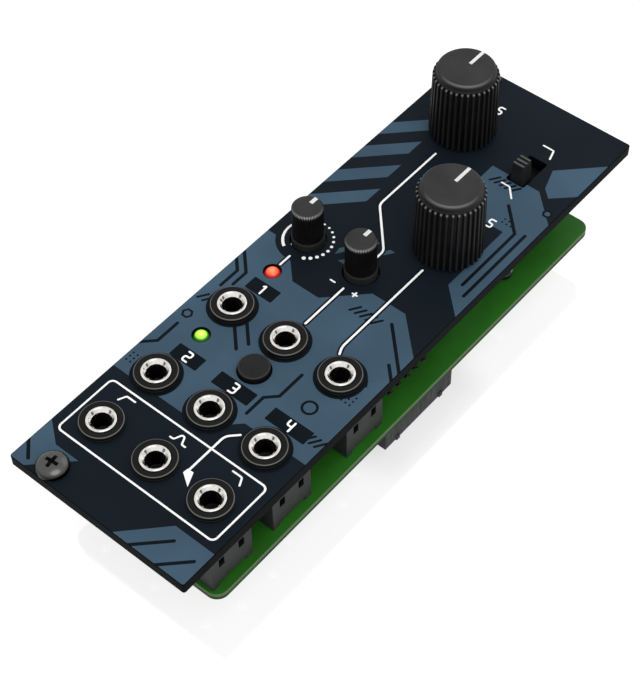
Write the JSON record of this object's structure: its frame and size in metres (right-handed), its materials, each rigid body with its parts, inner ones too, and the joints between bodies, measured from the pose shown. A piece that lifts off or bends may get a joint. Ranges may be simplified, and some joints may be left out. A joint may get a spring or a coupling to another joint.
{
  "type": "eurorack filter module",
  "caption": "Narrow modular synthesizer panel with a circuit board behind it: jack sockets, turning knobs, a slide switch, a push button, indicator lights and a power header.",
  "frame": {"origin": "on the front panel's rear face, midway between its long edges, on the lower rack screw line", "axes": "+X across the panel to its right as seen from the front, +Y up the panel, +Z out of its front"},
  "size_m": [0.0404, 0.1285, 0.0427],
  "materials": {
    "panel": "satin",
    "board": "gloss",
    "jack_housing": "matte",
    "bushing": "polished",
    "jack_nut": "satin",
    "pot_case": "satin",
    "shaft": "satin",
    "hardware": "polished",
    "large_knob": "matte",
    "small_knob": "matte",
    "lever": "satin",
    "button": "satin",
    "black_plastic": "matte",
    "red_light": "gloss",
    "green_light": "gloss",
    "header": "matte",
    "capacitor": "gloss",
    "chip": "matte",
    "rack_screw": "polished"
  },
  "bodies": {
    "module": {"front_panel": "panel", "main_board": "board", "jack_upper_left_housing": "jack_housing", "jack_upper_left_bushing": "bushing", "jack_upper_left_nut": "jack_nut", "jack_upper_middle_housing": "jack_housing", "jack_upper_middle_bushing": "bushing", "jack_upper_middle_nut": "jack_nut", "jack_upper_right_housing": "jack_housing", "jack_upper_right_bushing": "bushing", "jack_upper_right_nut": "jack_nut", "jack_middle_left_housing": "jack_housing", "jack_middle_left_bushing": "bushing", "jack_middle_left_nut": "jack_nut", "jack_middle_middle_housing": "jack_housing", "jack_middle_middle_bushing": "bushing", "jack_middle_middle_nut": "jack_nut", "jack_middle_right_housing": "jack_housing", "jack_middle_right_bushing": "bushing", "jack_middle_right_nut": "jack_nut", "jack_lower_left_housing": "jack_housing", "jack_lower_left_bushing": "bushing", "jack_lower_left_nut": "jack_nut", "jack_lower_middle_housing": "jack_housing", "jack_lower_middle_bushing": "bushing", "jack_lower_middle_nut": "jack_nut", "jack_lower_right_housing": "jack_housing", "jack_lower_right_bushing": "bushing", "jack_lower_right_nut": "jack_nut", "large_pot_1_body": "pot_case", "large_pot_1_washer": "hardware", "large_pot_1_nut": "hardware", "small_pot_1_body": "black_plastic", "large_pot_2_body": "pot_case", "large_pot_2_washer": "hardware", "large_pot_2_nut": "hardware", "small_pot_2_body": "black_plastic", "slide_switch_base": "black_plastic", "slide_switch_frame": "pot_case", "button_switch_body": "black_plastic", "red_led": "red_light", "green_led": "green_light", "red_led_spacer": "black_plastic", "green_led_spacer": "black_plastic", "power_header": "header", "capacitor_1": "capacitor", "capacitor_2": "capacitor", "lower_chip": "chip", "middle_chip": "chip", "upper_chip": "chip", "rack_screw_lower": "rack_screw", "rack_screw_upper": "rack_screw"},
    "large_knob_upper": {"large_pot_1_shaft": "shaft", "large_knob_1": "large_knob"},
    "large_knob_lower": {"large_pot_2_shaft": "shaft", "large_knob_2": "large_knob"},
    "small_knob_left": {"small_knob_1": "small_knob"},
    "small_knob_right": {"small_knob_2": "small_knob"},
    "switch_lever": {"slide_switch_lever": "lever"},
    "button": {"button_cap": "button"}
  },
  "joints": [
    {"name": "large_knob_upper_turn", "type": "hinge", "parent": "module", "child": "large_knob_upper", "pos_m": [-0.00796, 0.10829, 0], "axis": [0, 0, 1], "range_deg": [-150, 150]},
    {"name": "large_knob_lower_turn", "type": "hinge", "parent": "module", "child": "large_knob_lower", "pos_m": [0.0086, 0.08192, 0], "axis": [0, 0, 1], "range_deg": [-150, 150]},
    {"name": "small_knob_left_turn", "type": "hinge", "parent": "module", "child": "small_knob_left", "pos_m": [-0.01269, 0.0668, 0], "axis": [0, 0, 1], "range_deg": [-150, 150]},
    {"name": "small_knob_right_turn", "type": "hinge", "parent": "module", "child": "small_knob_right", "pos_m": [0, 0.0668, 0], "axis": [0, 0, 1], "range_deg": [-150, 150]},
    {"name": "switch_slide", "type": "slide", "parent": "module", "child": "switch_lever", "axis": [0, 1, 0], "range_m": [0, 0.004]},
    {"name": "button_press", "type": "slide", "parent": "module", "child": "button", "axis": [0, 0, -1], "range_m": [0, 0.0005], "stiffness_N_per_m": 1500, "springref_m": -0.0005}
  ]
}
